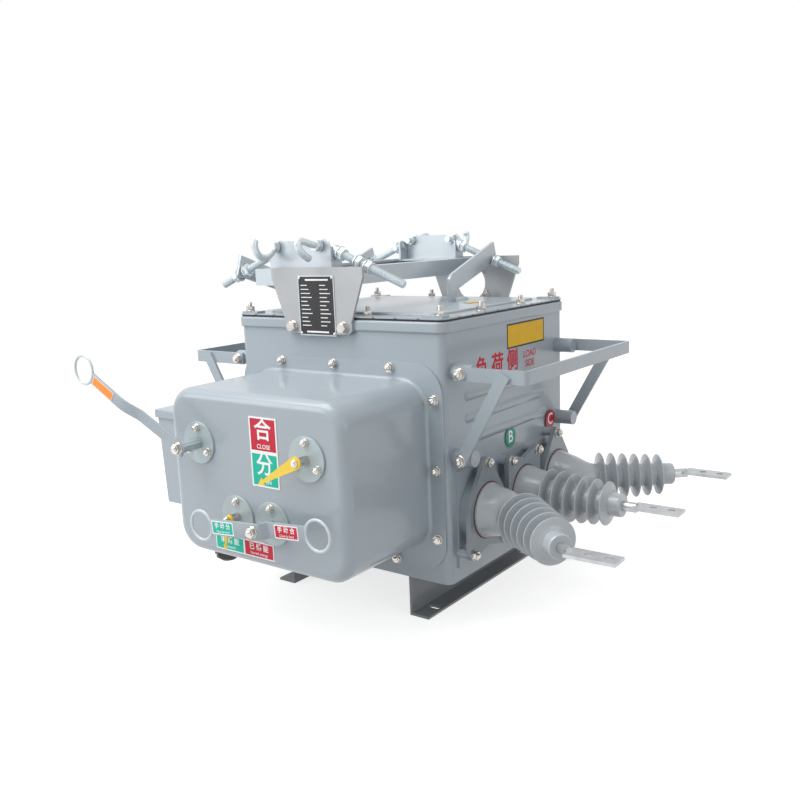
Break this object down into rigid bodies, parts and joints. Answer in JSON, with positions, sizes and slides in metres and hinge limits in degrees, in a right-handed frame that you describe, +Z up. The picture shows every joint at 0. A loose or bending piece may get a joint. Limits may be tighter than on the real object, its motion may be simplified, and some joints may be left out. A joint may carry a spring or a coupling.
{
  "type": "outdoor vacuum circuit breaker",
  "caption": "Outdoor three phase vacuum circuit breaker: steel tank on rails, bushings on both sides, mechanism cover with handles in front, hanging bracket on top.",
  "frame": {"origin": "on the floor under the base rails, midway between the four slots and in the middle of the tank", "axes": "+X to the load bushings, +Y from the mechanism cover to the back, +Z up"},
  "size_m": [1.28, 0.901, 0.7745],
  "materials": {
    "grey_paint": "smooth light grey enamel",
    "zinc": "zinc plated steel",
    "silver_paint": "silver grey paint",
    "black_rubber": "black sealing rubber",
    "red_rubber": "dark red silicone ring",
    "silicone": "grey silicone",
    "cast_clamp": "cast aluminium",
    "tinned": "tinned copper",
    "copper": "bare copper",
    "yellow_paint": "yellow paint",
    "plates": "printed film",
    "dark_plate": "black plate",
    "black_plastic": "black plastic",
    "ceramic": "white glazed ceramic",
    "epoxy": "red brown epoxy",
    "spring_steel": "oiled spring steel"
  },
  "bodies": {
    "housing": {"base_rails": "grey_paint", "bearing_discs": "zinc", "bent_bushings": "silicone", "bushing_clamps": "cast_clamp", "bushing_gaskets": "red_rubber", "charging_motor": "black_plastic", "clamp_arms": "grey_paint", "clamp_studs": "zinc", "closing_spring": "spring_steel", "control_socket": "black_plastic", "cover_bolts": "zinc", "current_transformers": "epoxy", "disc_bolts": "zinc", "frame_bolts": "zinc", "gusset_bolts": "zinc", "hanger_frame": "silver_paint", "hanger_gussets": "silver_paint", "hanger_uprights": "silver_paint", "hook_nuts": "zinc", "hooks": "zinc", "interrupter_boards": "epoxy", "interrupters": "ceramic", "lid": "grey_paint", "lid_clamps": "zinc", "lid_gasket": "black_rubber", "lid_studs": "zinc", "line_bars": "copper", "load_bars": "copper", "mech_cover": "grey_paint", "mech_frame": "zinc", "opening_springs": "spring_steel", "rating_plate": "dark_plate", "shaft_bearings": "zinc", "side_frames": "grey_paint", "state_plates": "plates", "straight_bushings": "silicone", "tank": "grey_paint", "terminal_box": "grey_paint", "terminal_lid": "grey_paint", "terminal_strip": "black_plastic", "terminals": "tinned", "tie_nuts": "zinc", "tie_rods": "zinc", "transformer_shelf": "grey_paint"},
    "charging_arm": {"charge_shaft": "zinc", "charge_handle": "zinc"},
    "manual_lever": {"trip_lever": "grey_paint", "trip_shaft": "zinc"},
    "crankshaft": {"main_shaft": "zinc", "position_pointer": "yellow_paint"},
    "spring_gauge": {"energy_pointer": "yellow_paint"},
    "contact_a": {"moving_contact_a": "copper", "pull_rod_a": "epoxy"},
    "contact_b": {"moving_contact_b": "copper", "pull_rod_b": "epoxy"},
    "contact_c": {"moving_contact_c": "copper", "pull_rod_c": "epoxy"}
  },
  "joints": [
    {"name": "charging_arm_turn", "type": "hinge", "parent": "housing", "child": "charging_arm", "pos_m": [-0.1415, -0.4965, 0.387], "axis": [0, 1, 0], "range_deg": [-75, 0]},
    {"name": "manual_lever_turn", "type": "hinge", "parent": "housing", "child": "manual_lever", "pos_m": [0.046, -0.4965, 0.252], "axis": [0, 1, 0], "range_deg": [-25, 25], "stiffness_Nm_per_rad": 4},
    {"name": "main_shaft_turn", "type": "hinge", "parent": "housing", "child": "crankshaft", "pos_m": [0.1415, -0.4965, 0.387], "axis": [0, 1, 0], "range_deg": [0, 46], "stiffness_Nm_per_rad": 6, "springref_deg": -17.19},
    {"name": "spring_gauge_turn", "type": "hinge", "parent": "housing", "child": "spring_gauge", "pos_m": [-0.046, -0.4965, 0.252], "axis": [0, 1, 0], "range_deg": [-26, 0]},
    {"name": "contact_a_travel", "type": "slide", "parent": "housing", "child": "contact_a", "axis": [1, 0, 0], "range_m": [-0.0102, 0]},
    {"name": "contact_b_travel", "type": "slide", "parent": "housing", "child": "contact_b", "axis": [1, 0, 0], "range_m": [-0.0102, 0]},
    {"name": "contact_c_travel", "type": "slide", "parent": "housing", "child": "contact_c", "axis": [1, 0, 0], "range_m": [-0.0102, 0]}
  ],
  "couplings": [
    {"joint": "contact_a_travel", "follows": "main_shaft_turn", "m_per_rad": -0.01265},
    {"joint": "contact_b_travel", "follows": "main_shaft_turn", "m_per_rad": -0.01265},
    {"joint": "contact_c_travel", "follows": "main_shaft_turn", "m_per_rad": -0.01265}
  ]
}
